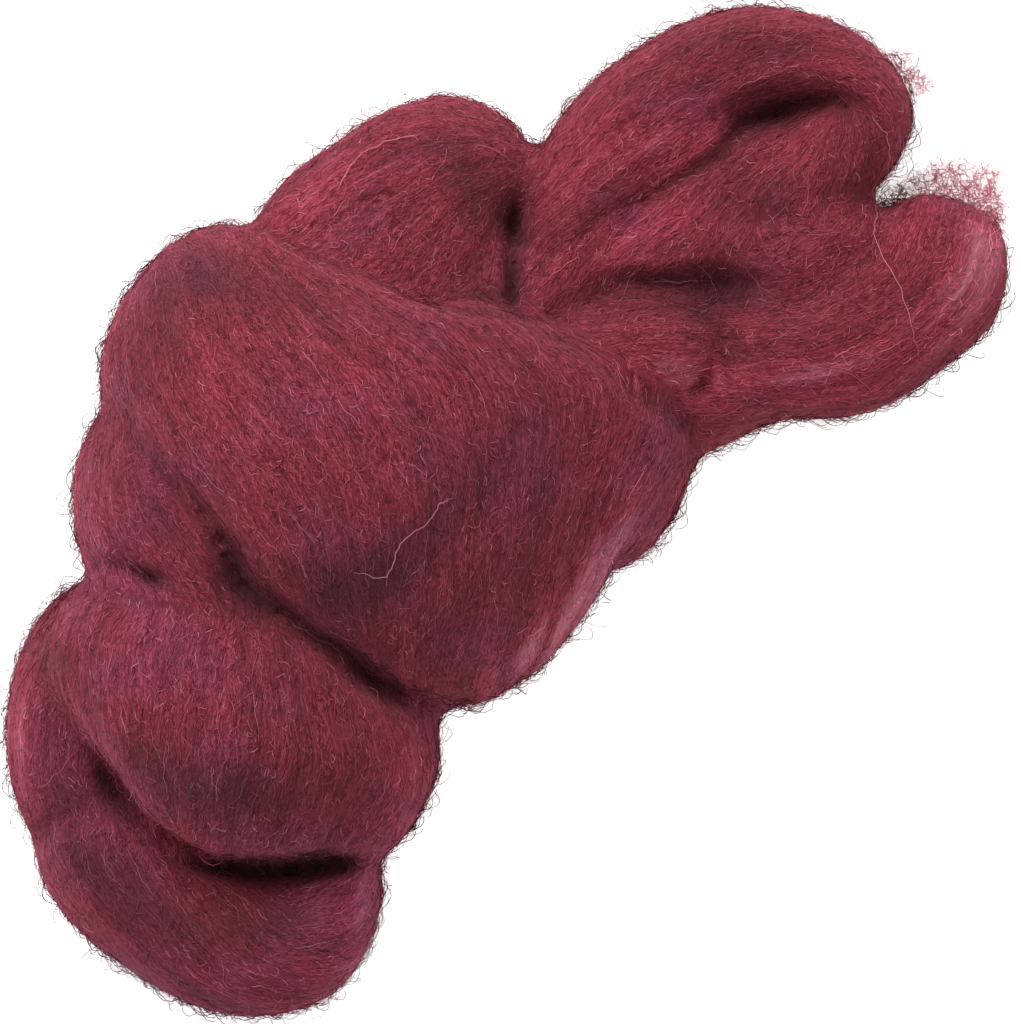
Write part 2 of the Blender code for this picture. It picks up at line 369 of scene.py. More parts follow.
def drawn_in(points, normals):
    """How far in, away from the camera, the creases and the hollows draw each point."""
    places = as_seen(points)
    deep = np.vstack([along_lines(places, CREASES, sharp), along_lines(places, HOLLOWS, soft)]).max(0)
    # in full where the skin faces up at all and is clear of the floor
    facing_up = np.clip(normals[:, 2] * 2 + 0.6, 0, 1)
    return deep * facing_up * np.clip(points[:, 2] / DRAWN_HEIGHT - 0.1, 0, 1)


remesh_and_soften(fused, "fuse", *FUSED_TURNS)
rest_flat = fused.modifiers.new("rest_flat", "BOOLEAN")
rest_flat.operation = "DIFFERENCE"
rest_flat.solver = "EXACT"
rest_flat.object = block
remesh_and_soften(fused, "close", *CUT_TURNS)
fused_points, fused_faces, fused_normals = read_mesh(evaluated_mesh(fused, "fused_skin"))
fused_points += unit(fused_points - EYE) * drawn_in(fused_points, fused_normals)[:, None]
drawn = mesh_object("drawn_turns", fused_points, fused_faces)
remesh_and_soften(drawn, "even", *DRAWN_TURNS)
skin_data = evaluated_mesh(drawn, "hank_skin")
for spent in (fused, block, drawn):
    bpy.data.objects.remove(spent)

skin_points, skin_faces, skin_normals = read_mesh(skin_data)

# How the wool is combed: rows of x, y, heading, as seen from above. A heading is in degrees from
# the hank's length, and the fibres there lie along it.
COMBED = {
    "wrap": (
        (-38, 72, -130), (-20, 66, -110), (0, 65, -90), (-50, 44, -103), (-10, 46, -99), (8, 38, -86),
        (-31, 30, -102), (-52, 14, -103), (-6, 24, -103), (15, 21, -84), (28, -4, -88), (-25, 7, -108),
        (6, -2, -114), (-42, -8, -122), (-13, -14, -134), (13, -16, -138), (-32, -32, -142),
        (-6, -38, -142), (19, -32, -148), (4, -52, -155), (36, -38, -168), (44, -46, -175),
    ),
    "side": (
        (-63, 62, -127), (-66, 49, -115), (-77, 42, -104), (-65, 33, -98), (-64, 14, -92), (-58, -4, -100),
    ),
    "left": (
        (-86, 26, -165), (-74, 8, -152), (-100, 12, -126), (-62, -16, -125), (-90, -8, -146),
        (-74, -32, -122), (-92, -32, -160), (-104, -16, -130), (-60, -48, -114), (-76, -52, -162),
    ),
    "end": ((-84, 20, 178), (-104, 22, 184), (-118, 14, 215), (-128, 0, 232), (-134, -12, 262)),
    "low": (
        (-128, -10, -130), (-138, -21, -98), (-147, -34, -98), (-130, -38, -103), (-119, -52, -99),
        (-131, -64, -78), (-114, -72, -56), (-101, -64, -18), (-92, -66, 12),
    ),
    "back": (
        (17, 66, -5), (35, 66, -8), (50, 63, -25), (62, 54, -60), (16, 50, 0), (40, 52, -17),
        (28, 40, 6), (52, 40, -14), (38, 30, 16), (52, 28, 8), (43, 18, 38),
    ),
    "loop": (
        (50, 6, 14), (57, 14, -4), (79, 32, 5), (93, 28, -3), (74, 14, -10), (112, 25, -10), (100, 14, -20),
        (74, 2, -9), (89, -4, 0), (130, 14, -32), (123, 8, -22), (137, -2, -50), (137, -14, -75),
        (133, -26, -110), (121, -7, -10), (127, -32, -143), (111, -11, -5), (118, -21, 31), (91, -16, 20),
        (102, -27, 12), (112, -36, 26),
    ),
    "loose": (
        (36, -14, -70), (45, -13, -46), (42, -23, -52), (54, -36, -34), (57, -10, -20), (80, -26, -22),
        (100, -42, -14), (114, -46, 28), (126, -52, 30), (62, -30, -44), (75, -39, -47), (98, -59, -22),
        (112, -62, -8), (126, -68, 20), (60, -46, -54), (77, -66, -42), (91, -73, -8), (108, -74, -2),
        (138, -58, 8),
    ),
}
GUIDE_NEAR = 5.0  # a row of COMBED has its full say well within this distance
GUIDE_FAR = 28.0  # and a turn's own way and lean have more say beyond this one
STEEPEST = 0.3  # keeps the headings steady where the skin faces the floor
RUN_ROUNDS = 4  # of evening out between neighbours


def tangents(headings, normals):
    """Level headings turned down onto the surface, the way a fibre bends over an edge."""
    up = np.array([0.0, 0.0, 1.0])
    lowered = dot(normals, headings) / np.maximum(1 + normals[..., 2:], STEEPEST)
    turned = headings - lowered * (normals + up)
    return unit(turned - normals * dot(turned, normals))


def combed_run(points, normals):
    """The way the fibres lie at each point of the skin, and the number of the combed part that it is in."""
    found = [band_tree.find_nearest(point)[2] for point in points.tolist()]
    band, ring = face_band[found], face_ring[found]
    run = np.zeros(points.shape)
    part = np.zeros(len(points), int)
    seen = as_seen(points)
    for number, (turn, (_, way)) in enumerate(zip(TURNS.values(), swept.values())):
        here = band == number
        if not here.any():
            continue
        part[here] = list(COMBED).index(turn.combed)
        normal = normals[here]
        own = way[ring[here]]
        own = unit(own - normal * dot(own, normal))
        lean = math.radians(turn.lean)
        own = own * math.cos(lean) + np.cross(own, normal) * math.sin(lean)
        total = own / GUIDE_FAR**4
        for x, y, heading in COMBED[turn.combed]:
            angle = math.radians(heading)
            guide = tangents(np.array([math.cos(angle), math.sin(angle), 0.0]), normal)
            guide = guide * np.where(dot(guide, own) < 0, -1, 1)
            apart = (seen[here, 0] - x) ** 2 + (seen[here, 1] - y) ** 2 + GUIDE_NEAR**2
            # what faces down isn't seen from above, so a row says less about it
            say = np.clip(normal[:, 2] * 2 + 1, 0, 1) / apart**2
            total = total + guide * say[:, None]
        run[here] = unit(total)
    return run, part


def over_corners(faces, values, count):
    """The sum, at each point, of values given for the corners of the faces round it."""
    return np.bincount(faces.ravel(), values.ravel(), count)


band_tree = BVHTree.FromPolygons(band_points.tolist(), shown_faces)
skin_run, skin_part = combed_run(skin_points, skin_normals)
for _ in range(RUN_ROUNDS):
    shared = np.repeat(skin_run[skin_faces].sum(1)[:, None], 3, 1)
    shared = [over_corners(skin_faces, shared[:, :, axis], len(skin_points)) for axis in range(3)]
    skin_run = np.stack(shared, -1)
    skin_run = unit(skin_run - skin_normals * dot(skin_run, skin_normals))

LAY_ROUNDS = 700
LAY_STIFF = 3.0  # how much more the strokes keep their direction than their width
LAY_AGREED = 300  # how strongly a triangle counts less where the fibres at its corners differ
LAY_UPRIGHT = 0.6  # how much an upright side counts, next to 1 on top
LAY_UNDER = 0.05  # how much the underside counts
THINNEST = 0.05  # twice the least area that a triangle is taken to have
LEAST_SCALE = 1e-6  # this and the next keep the rounds from dividing by nothing
LEAST_ENERGY = 1e-12


def lay_coordinates(points, faces, run, part):
    """How far along the fibres and how far across them each point lies, in millimetres, part by part."""
    first, second, third = np.moveaxis(points[faces], 1, 0)
    cross = np.cross(second - first, third - first)
    double = np.linalg.norm(cross, axis=1, keepdims=True)
    up = cross / np.maximum(double, LEAST)
    mean_run = run[faces].mean(1)
    agreed = np.linalg.norm(mean_run, axis=1)
    way = unit(mean_run - up * dot(mean_run, up))
    aside = np.cross(up, way)
    edges = (third - second, first - third, second - first)
    rises = [np.cross(up, edge) / np.maximum(double, THINNEST) for edge in edges]
    along = np.stack([dot(rise, way)[:, 0] for rise in rises], -1)
    across = np.stack([dot(rise, aside)[:, 0] for rise in rises], -1)
    whole = (part[faces] == part[faces[:, :1]]).all(1)
    shown = np.clip(LAY_UPRIGHT + up[:, 2], LAY_UNDER, 1)
    weight = (double[:, 0] / 2 * agreed**LAY_AGREED * whole * shown)[:, None]

    def fitted(flat, rising, stiff):
        """The values that rise by one along a millimetre of one way, and stay flat along the other.

        They are found by conjugate gradients, a step closer in each round."""
        wanted = over_corners(faces, weight * rising, len(points))
        scale = over_corners(faces, weight * (stiff * flat**2 + rising**2), len(points))
        scale = np.maximum(scale, LEAST_SCALE)
        values = np.zeros(len(points))
        left = wanted
        ready = left / scale
        step = ready
        energy = left @ ready
        for _ in range(LAY_ROUNDS):
            at = step[faces]
            pull = stiff * dot(flat, at) * flat + dot(rising, at) * rising
            pulled = over_corners(faces, weight * pull, len(points))
            size = energy / max(step @ pulled, LEAST_ENERGY)
            values = values + size * step
            left = left - size * pulled
            ready = left / scale
            energy, before = left @ ready, energy
            step = ready + step * (energy / max(before, LEAST_ENERGY))
        return values

    return fitted(across, along, 1.0), fitted(along, across, LAY_STIFF)


lay_along, lay_across = lay_coordinates(skin_points, skin_faces, skin_run, skin_part)

# Painted shade and light: where the wool is painted darker or lighter, in rows of x, y, wide, tone. A tone
# below nought is painted shade, where a turn sinks into the shade of the next, and above it painted light.
PAINTED_SHADE_AND_LIGHT = {
    "middle_top": (
        (-47, 62, 12, -0.15), (-29, 69, 14, -0.42), (-15, 71, 14, -0.52), (-6, 56, 14, -0.36),
        (5, 42, 10, -0.1),
    ),
    "middle_low": (
        (-49, -1, 10, -0.48), (-44, -12, 13, -0.7), (-31, -16, 14, -0.7), (-15, -16, 13, -0.48),
        (4, -15, 13, -0.38), (20, -15, 12, -0.2),
    ),
    "middle_side": ((-42, -30, 10, -0.15), (-28, -35, 12, -0.25), (-10, -35, 12, -0.2), (6, -32, 10, -0.1)),
    "middle_edge": (
        (-34, -53, 6, 0.3), (-20, -57, 9, 0.85), (-7, -56, 9, 0.75), (7, -52, 9, 0.52),
        (19, -51, 8, 0.4), (30, -49, 7, 0.3),
    ),
    "left_low": (
        (-109, 0, 9, -0.3), (-109, -7, 11, -0.48), (-106, -19, 13, -0.46), (-100, -28, 13, -0.6),
        (-90, -38, 13, -0.46), (-80, -44, 11, -0.25), (-73, -48, 7, -0.1),
    ),
    "left_edge": ((-57, -52, 8, 0.25), (-64, -56, 9, 0.35), (-74, -61, 7, 0.2)),
    "left_seam": ((-115, -1, 4, 0.1), (-118, -18, 5, 0.4), (-117, -27, 5, 0.4), (-113, -36, 3, 0.2)),
    "side_top": ((-57, 60, 8, -0.15), (-65, 47, 10, -0.22), (-67, 33, 9, -0.16)),
    "end_rim": ((-113, 32, 4, 0.2), (-121, 27, 6, 0.5), (-128, 20, 6, 0.5), (-136, 10, 4, 0.2)),
    "end_dip": ((-106, 33, 6, -0.25), (-109, 27, 7, -0.5), (-112, 21, 5, -0.2)),
    "lower_end": (
        (-140, -7, 9, -0.35), (-137, -17, 12, -0.57), (-136, -35, 12, -0.48), (-126, -50, 12, -0.5),
        (-112, -60, 11, -0.4),
    ),
    "lower_end_edge": ((-92, -67, 7, 0.4), (-99, -73, 9, 0.6), (-109, -78, 7, 0.4), (-120, -73, 5, 0.2)),
    "back_left": ((12, 65, 8, 0.45), (19, 63, 11, 0.65), (29, 62, 10, 0.35)),
    "back_right": ((52, 51, 9, -0.25), (51, 40, 11, -0.52), (46, 31, 9, -0.4)),
    "back_corner": ((28, 27, 6, -0.15), (33, 19, 8, -0.4), (36, 14, 6, -0.4)),
    "loop_top": ((112, 25, 7, -0.25), (123, 16, 8, -0.35), (133, 4, 7, -0.2)),
    "loop_near": ((65, 21, 10, 0.3), (80, 22, 14, 0.42), (91, 12, 14, 0.5), (102, 5, 10, 0.38)),
    "loop_dip": ((99, -7, 5, -0.2), (100, -14, 7, -0.4), (106, -18, 6, -0.3)),
    "loop_line": ((53, 15, 3, -0.15), (65, 14, 3, -0.3), (75, 13, 3, -0.3), (84, 12, 3, -0.15)),
    "throat_shade": ((57, -7, 6, -0.2), (67, -14, 7, -0.3), (75, -25, 9, -0.4), (81, -31, 8, -0.25)),
    "loop_low": (
        (53, 6, 7, 0.2), (64, 1, 10, 0.36), (77, -4, 10, 0.38), (91, -9, 8, 0.2), (109, -13, 9, 0.15),
    ),
    "throat": ((44, -14, 6, 0.2), (50, -25, 9, 0.5), (54, -32, 10, 0.8), (59, -41, 9, 0.5)),
    "middle_light": ((-14, 29, 11, 0.1), (0, 19, 14, 0.24), (14, 9, 11, 0.12)),
    "left_light": ((-76, -4, 9, 0.08), (-86, -9, 10, 0.1), (-95, -2, 8, 0.05)),
    "loose_light": ((88, -36, 8, 0.1), (101, -36, 10, 0.22), (114, -43, 11, 0.3), (125, -50, 8, 0.15)),
    "loose_low": (
        (59, -45, 9, 0.3), (73, -55, 11, 0.72), (88, -66, 11, 0.5), (104, -70, 11, 0.45),
        (117, -69, 12, 0.62), (128, -65, 11, 0.75), (131, -58, 8, 0.65),
    ),
}
DARK_DEPTH = 14.0  # painted crease shade: how far in a crease is painted quite black
DARK_MOST = 0.9  # but no crease is painted darker than this
RIM_LIGHT = 0.35  # painted rim light: how much lighter the steep sides are painted
SIDE_SHARE = 0.35  # how much of a painted light tone is left where the side stands upright
SIDE_RISE = 1.2  # and how fast it comes back where the side slopes
UNDER_SHADE = 0.6  # painted shade: how much darker it is painted where it turns under, towards the floor
SHADE_AND_LIGHT_RANGE = (0.4, 2.0)  # of the painted shade and light, before the painted crease shade darkens it


def shade_and_light_at(points, normals):
    """Painted shade and light at each point: 1 as a rule, less where shade is painted, more where light is.
    """
    upward = normals[:, 2]
    given = along_lines(as_seen(points), PAINTED_SHADE_AND_LIGHT, soft).sum(0)
    given = np.where(given > 0, given * np.clip(SIDE_SHARE + SIDE_RISE * upward, 0, 1), given)
    given = 1 + given + RIM_LIGHT * (1 - np.abs(upward)) ** 2 - UNDER_SHADE * np.clip(-upward, 0, 1)
    # painted shade in the creases and hollows, darker the deeper they draw the skin in
    dark = np.clip(drawn_in(points, normals) / DARK_DEPTH, 0, DARK_MOST)
    return np.clip(given, *SHADE_AND_LIGHT_RANGE) * (1 - dark)


# The combed surface: long shallow ridges along the fibres, painted shade in the grooves between, soft lumps
Strand = namedtuple("Strand", "long wide seed strength")
STRANDS = (Strand(60, 6, 3.1, 1.0), Strand(30, 2.2, 40.0, 0.6))
RIDGE = 0.5
RIDGE_SHADE = 0.3  # painted: how much lighter a strand, and darker a groove, is than the wool as a whole
LUMP = 0.35
LUMP_SIZE = 22
FIBRE_COAT = 0.6  # how far the fibres stand off the skin
FOOT = 4  # below this height the skin keeps more and more to its flat foot


def ridges(along, across):
    """Above nought on a strand and below it between two."""
    return sum(
        strand.strength * noise.noise(Vector((along / strand.long, across / strand.wide, strand.seed)))
        for strand in STRANDS
    )


ridge = np.array([ridges(*row) for row in zip(lay_along.tolist(), lay_across.tolist())])
lump = np.array([noise.noise(Vector(point) / LUMP_SIZE) for point in skin_points.tolist()])
# the painted shade and light of the skin, with more painted shade between the strands
skin_shade_and_light = shade_and_light_at(skin_points, skin_normals) * (1 + RIDGE_SHADE * ridge)
height = ridge * RIDGE + lump * LUMP - FIBRE_COAT
off_floor = np.clip(skin_points[:, 2] / FOOT, 0, 1)
skin_points = skin_points + skin_normals * (height * off_floor)[:, None]
skin_points[:, 2] = np.maximum(skin_points[:, 2], 0)
skin_data.vertices.foreach_set("co", (skin_points * MM).astype(np.float32).ravel())
skin_data.update()
skin_data.shade_smooth()
lie_kept = skin_data.attributes.new("lie", "FLOAT_VECTOR", "POINT")
# the lie holds how far along and across the fibres each point lies, and its painted shade and light
lie = np.stack([lay_along, lay_across, skin_shade_and_light], -1)
lie_kept.data.foreach_set("vector", lie.astype(np.float32).ravel())
skin = placed("hank_skin", skin_data)
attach(skin, "root")
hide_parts("roving_hank")


class Shade:
    """A node's output. Arithmetic on it adds Math nodes to its material."""

    def __init__(self, tree, socket=None):
        self.tree = tree
        self.socket = socket

    def add(self, kind, settings, sockets, out=0):
        """Adds a node of a kind with its settings, and fills its sockets with values or links."""
        node = self.tree.nodes.new(kind)
        for name, value in settings.items():
            if name == "stops":
                ramp = node.color_ramp.elements
                ramp[0].position, ramp[0].color = value[0]
                ramp[1].position, ramp[1].color = value[-1]
                for place, colour in value[1:-1]:
                    ramp.new(place).color = colour
            else:
                setattr(node, name, value)
        for name, value in sockets.items():
            if isinstance(value, Shade):
                self.tree.links.new(value.socket, node.inputs[name])
            else:
                node.inputs[name].default_value = value
        return Shade(self.tree, node.outputs[out])

    def feeds(self, shader, name):
        """Links the output to a socket of the shader."""
        self.tree.links.new(self.socket, shader.inputs[name])

    def maths(self, operation, *values):
        return self.add("ShaderNodeMath", {"operation": operation}, dict(enumerate(values)))

    def vectors(self, operation, *values, out=0):
        return self.add("ShaderNodeVectorMath", {"operation": operation}, dict(enumerate(values)), out)

    def __add__(self, other):
        return self.maths("ADD", self, other)

    def __sub__(self, other):
        return self.maths("SUBTRACT", self, other)

    def __rsub__(self, other):
        return self.maths("SUBTRACT", other, self)

    def __mul__(self, other):
        return self.maths("MULTIPLY", self, other)

    __radd__ = __add__
    __rmul__ = __mul__


MIX_FACTOR, MIX_A, MIX_B, MIX_COLOUR = 0, 6, 7, 2  # the sockets of a Mix node for colours
DEEP_RED = (0.075, 0.011, 0.018, 1.0)
# the colour that painted shade darkens the wool towards
SHADE_RED = (0.036, 0.015, 0.018, 1.0)
WOOL_RED = (0.208, 0.0262, 0.0425, 1.0)
PALE_RED = (0.425, 0.071, 0.108, 1.0)
LIGHT_RED = (0.560, 0.175, 0.225, 1.0)
PURPLE_TINT = (0.93, 1.25, 1.70, 1.0)
PURPLE_FILL_SIDE = (-1.3, -1.3, 0.0)  # painted purple fill light: how fast the colour turns purple over a metre, towards one side
PURPLE_FROM = 0.46  # where the purple patches begin in their noise
PURPLE_RISE = 2.2  # and how soon they are at their full strength
PATCHES = {"Scale": 45.0, "Detail": 2.0}
# a painted glow: pale purple added to the colour where the most light is painted
PAINTED_GLOW = (0.090, 0.075, 0.100, 1.0)
GLOW_FROM = 1.45  # the tone from which a painted glow is added
GLOW_RISE = 1.4
WOOL_FINISH = {
    "Roughness": 0.9,
    "Specular IOR Level": 0.15,
    "Sheen Weight": 0.4,
    "Sheen Roughness": 0.35,
    "Sheen Tint": (0.9, 0.25, 0.36, 1.0),
}


def finished(name, finish):
    """A material, and its Principled shader with the sockets of the finish set."""
    material = bpy.data.materials.new(name)
    material.use_nodes = True
    shader = material.node_tree.nodes["Principled BSDF"]
    for socket, value in finish.items():
        shader.inputs[socket].default_value = value
    return material, shader


def wool_material(name):
    """A wool material: soft sheen, no gloss. With it come the start of its nodes and its shader."""
    material, shader = finished(name, WOOL_FINISH)
    return material, Shade(material.node_tree), shader


def mixed(wool, factor, first, second, **settings):
    """Two colours mixed by the factor."""
    sockets = {MIX_FACTOR: factor, MIX_A: first, MIX_B: second}
    return wool.add("ShaderNodeMix", {"data_type": "RGBA", **settings}, sockets, MIX_COLOUR)


def with_shade_and_light(wool, tone, colour):
    """The colour with painted shade below 1, and painted light and a painted glow above it."""
    glowing = mixed(wool, (tone - GLOW_FROM) * GLOW_RISE, colour, PAINTED_GLOW, blend_type="ADD")
    return mixed(wool, tone, SHADE_RED, glowing, clamp_factor=False)


WANDER = {"Scale": 0.12, "Detail": 2.0}
WANDER_ACROSS = (0.0, 2.5, 0.0)  # how far the strokes wander sideways
# rows of turn from the lie in degrees, long and fine in millimetres, and seed
STROKES = ((0, 12.0, 0.5, 0.0), (12, 2.0, 0.23, 11.0), (-15, 1.6, 0.21, 23.0))
STROKE_STOPS = [(0.39, DEEP_RED), (0.5, WOOL_RED), (0.62, PALE_RED)]
STROKE_BUMP = 0.6

skin_wool, wool, shader = wool_material("combed_wool")
lie = wool.add("ShaderNodeAttribute", {"attribute_name": "lie"}, {}, "Vector")
level = wool.vectors("MULTIPLY", lie, (1.0, 1.0, 0.0))
wander = wool.add("ShaderNodeTexNoise", {}, {"Vector": level, **WANDER}, "Color")
bent = wool.vectors("MULTIPLY_ADD", wander, WANDER_ACROSS, level)


def strokes(turn, long, fine, seed):
    """Short fibre strokes along the lie, turned by an angle: light where a fibre shows."""
    turned = wool.add(
        "ShaderNodeVectorRotate",
        {"rotation_type": "Z_AXIS"},
        {"Vector": bent, "Center": (0.0, 0.0, 0.0), "Angle": math.radians(turn)},
    )
    fitted = wool.vectors("MULTIPLY_ADD", turned, (1 / long, 1 / fine, 1.0), (seed, seed, seed))
    return wool.add(
        "ShaderNodeTexNoise", {}, {"Vector": fitted, "Scale": 1.0, "Detail": 2.0, "Roughness": 0.6}
    )


def dyed_and_fill_lit(wool, colour):
    """The colour with the broad purple patches of uneven dye, and painted purple fill light towards one
    side of the hank.
    """
    place = wool.add("ShaderNodeTexCoord", {}, {}, "Object")
    patches = wool.add("ShaderNodeTexNoise", {}, {"Vector": place, **PATCHES})
    side = wool.vectors("DOT_PRODUCT", place, PURPLE_FILL_SIDE, out="Value")
    purple = (patches - PURPLE_FROM) * PURPLE_RISE + side
    return mixed(wool, purple, colour, PURPLE_TINT, blend_type="MULTIPLY")


coarse, fine, finest = [strokes(*row) for row in STROKES]
nap = (coarse + fine + finest) * (1 / 3)
# the painted shade and light, from the third value of the lie
tone = wool.add("ShaderNodeSeparateXYZ", {}, {0: lie}, 2)
shades = wool.add("ShaderNodeValToRGB", {"stops": STROKE_STOPS}, {"Fac": nap})
with_shade_and_light(wool, tone, dyed_and_fill_lit(wool, shades)).feeds(shader, "Base Color")
bump = wool.add(
    "ShaderNodeBump", {}, {"Height": nap, "Strength": 0.8, "Distance": STROKE_BUMP * MM}, "Normal"
)
bump.feeds(shader, "Normal")
skin_data.materials.clear()
skin_data.materials.append(skin_wool)

# The nap
# Short hairs that lie every way about the run of the fibres and make the soft mat that shows.
# They are crimped wool hairs a few millimetres long, and each is one fine flat strip.
THIN_END = 0.35  # how wide a strip still is at its ends
THIN_RISE = 1.6  # how soon it is at its full width
OFF_FLOOR = 0.02
FOLLOW = 0.1  # how much a hair turns back to the run of the wool at each step
CRIMP_TURN = (0.9, 2.2)  # how far the wave of the crimp goes on from point to point, in radians
FULL_WAVE = 6.28  # and it starts anywhere in a wave
JITTER = 0.04  # how unevenly a hair rises
SUNK = 0.12  # how deep its ends are in the skin
TINT_SPREAD = 0.26
FIBRE_STOPS = [(0.0, DEEP_RED), (0.35, WOOL_RED), (0.7, PALE_RED), (1.0, LIGHT_RED)]

# count fibres of length points, turned by spread from the run of the wool, step from point to point,
# wave the crimp, curl the steady bend, lift the mean rise, ends how far their far ends come down again,
# thick half their width, roll how far they turn about their own length, and tint from dark to light
Coat = namedtuple("Coat", "count length spread step wave curl lift ends thick roll tint")
NAP = Coat(15200, 6, 0.6, (0.36, 0.72), 0.5, 0.25, 0.33, 0.8, (0.055, 0.09), 0.5, 0.46)

skin_tree = BVHTree.FromPolygons(skin_points.tolist(), skin_faces.tolist())
corner = skin_points[skin_faces]
face_cross = np.cross(corner[:, 1] - corner[:, 0], corner[:, 2] - corner[:, 0])
face_area = np.linalg.norm(face_cross, axis=1) / 2
face_normal = unit(face_cross)
face_up = face_normal[:, 2]
face_run = unit(skin_run[skin_faces].sum(1))


def onto_skin(places):
    """The nearest place on the skin to each place, the normal there, and its triangle's number."""
    found = [skin_tree.find_nearest(place)[:3] for place in places.tolist()]
    feet, normals, faces = zip(*found)
    return np.array(feet), np.array(normals), np.array(faces)


def roots_on_skin(draw, count, share):
    """Places spread over the skin, as many on each triangle as its area times its share."""
    weight = face_area * share
    face = draw.choice(len(face_area), count, p=weight / weight.sum())
    one, two = np.sqrt(draw.random(count)), draw.random(count)
    mix = np.stack([1 - one, one * (1 - two), one * two], -1)[:, :, None]
    return (corner[face] * mix).sum(1), face


def trace(roots, faces, run, turn, bends, heights, step):
    """Fibres over the skin. They start turned from the run of the wool, and follow it in part."""
    normal = face_normal[faces]
    heading = run[faces]
    heading = heading * np.cos(turn)[:, None] + np.cross(normal, heading) * np.sin(turn)[:, None]
    foot = roots
    path, facing = [], []
    for bend, height in zip(bends.T, heights.T):
        foot, normal, face = onto_skin(foot)
        local = run[face] * np.where(dot(run[face], heading) < 0, -1, 1)
        heading = unit(heading + local * FOLLOW)
        heading = unit(heading - normal * dot(heading, normal))
        heading = unit(heading + np.cross(normal, heading) * bend[:, None])
        path.append(foot + normal * height[:, None])
        facing.append(normal)
        foot = foot + heading * step[:, None]
    return np.stack(path, 1), np.stack(facing, 1)


def strips(paths, facing, half_wide, roll):
    """Fine strips along the paths, rolled about their own length, thin at both ends: points and faces."""
    count, length = paths.shape[:2]
    way = unit(np.gradient(paths, axis=1))
    side = unit(np.cross(facing, way))
    roll = roll[:, None, None]
    side = side * np.cos(roll) + np.cross(way, side) * np.sin(roll)
    taper = np.minimum(1, THIN_END + THIN_RISE * np.sin(np.linspace(0, math.pi, length)))
    half = side * half_wide[:, None, None] * taper[None, :, None]
    points = np.stack([paths - half, paths + half], 2).reshape(-1, 3)
    points[:, 2] = np.maximum(points[:, 2], OFF_FLOOR)
    quads = np.arange(length - 1)[:, None] * 2 + np.array([0, 2, 3, 1])
    faces = np.arange(count)[:, None, None] * length * 2 + quads
    return points, faces.reshape(-1, 4).tolist()


def fibre_piece(name, paths, facing, half_wide, roll, tint, tone):
    """One piece made of many fibres, each with its own tint and its own painted shade and light."""
    points, faces = strips(paths, facing, half_wide, roll)
    piece = mesh_object(name, points, faces)
    for attribute, values in (("tint", np.clip(tint, 0, 1)), ("tone", tone)):
        kept = piece.data.attributes.new(attribute, "FLOAT", "POINT")
        kept.data.foreach_set("value", np.repeat(values, paths.shape[1] * 2).astype(np.float32))
    piece.data.materials.append(fibre_wool)
    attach(piece, "root")


fibre_wool, wool, shader = wool_material("single_fibres")
tint = wool.add("ShaderNodeAttribute", {"attribute_name": "tint"}, {}, "Fac")
# the painted shade and light of each fibre
tone = wool.add("ShaderNodeAttribute", {"attribute_name": "tone"}, {}, "Fac")
shades = wool.add("ShaderNodeValToRGB", {"stops": FIBRE_STOPS}, {"Fac": tint})
with_shade_and_light(wool, tone, dyed_and_fill_lit(wool, shades)).feeds(shader, "Base Color")


def coat(name, seed, kind, share, run):
    """A piece of fibres of one kind on the skin, as many on each triangle as its area times its share."""
    draw = np.random.default_rng(seed)
    one_each = (kind.count, 1)
    every_point = (kind.count, kind.length)
    roots, faces = roots_on_skin(draw, kind.count, share)
    along = np.arange(kind.length)[None] * draw.uniform(*CRIMP_TURN, one_each)
    along = along + draw.random(one_each) * FULL_WAVE
    bends = kind.wave * np.sin(along)
    bends = bends + draw.choice([-1, 1], one_each) * draw.uniform(0, kind.curl, one_each)
    bends = bends + draw.normal(0, kind.wave / 2, every_point)
    rise = np.sin(np.linspace(0, math.pi, kind.length) * draw.uniform(kind.ends, 1.0, one_each))
    heights = draw.gamma(2.0, kind.lift / 2, one_each) * rise
    heights = heights + draw.normal(0, JITTER, every_point) - SUNK
    turn = draw.normal(0, kind.spread, kind.count)
    step = draw.uniform(*kind.step, kind.count)
    paths, facing = trace(roots, faces, run, turn, bends, heights, step)
    tint = draw.normal(kind.tint, TINT_SPREAD, kind.count)
    roll = draw.normal(0, kind.roll, kind.count)
    half_wide = draw.uniform(*kind.thick, kind.count)
    # each fibre takes the painted shade and light of the skin where it is rooted
    fibre_piece(name, paths, facing, half_wide, roll, tint, skin_shade_and_light[skin_faces[faces]].mean(1))


# most on what faces up, less towards the floor, and none where the hank rests
upper = np.clip(0.65 + 0.45 * face_up, 0.3, 1.0) * (face_up > -0.9)
for number in (1, 2, 3):
    coat(f"nap_{number}", 200 + number, NAP, upper, face_run)

# The laid fibres
# Long outer fibres of the combed top, which lie along each turn and rise from it here and there.
LAID = Coat(3000, 14, 0.12, (0.7, 1.4), 0.25, 0.05, 0.22, 1.0, (0.04, 0.075), 0.5, 0.48)
for number in (1, 2):
    coat(f"laid_fibres_{number}", 100 + number, LAID, upper, face_run)

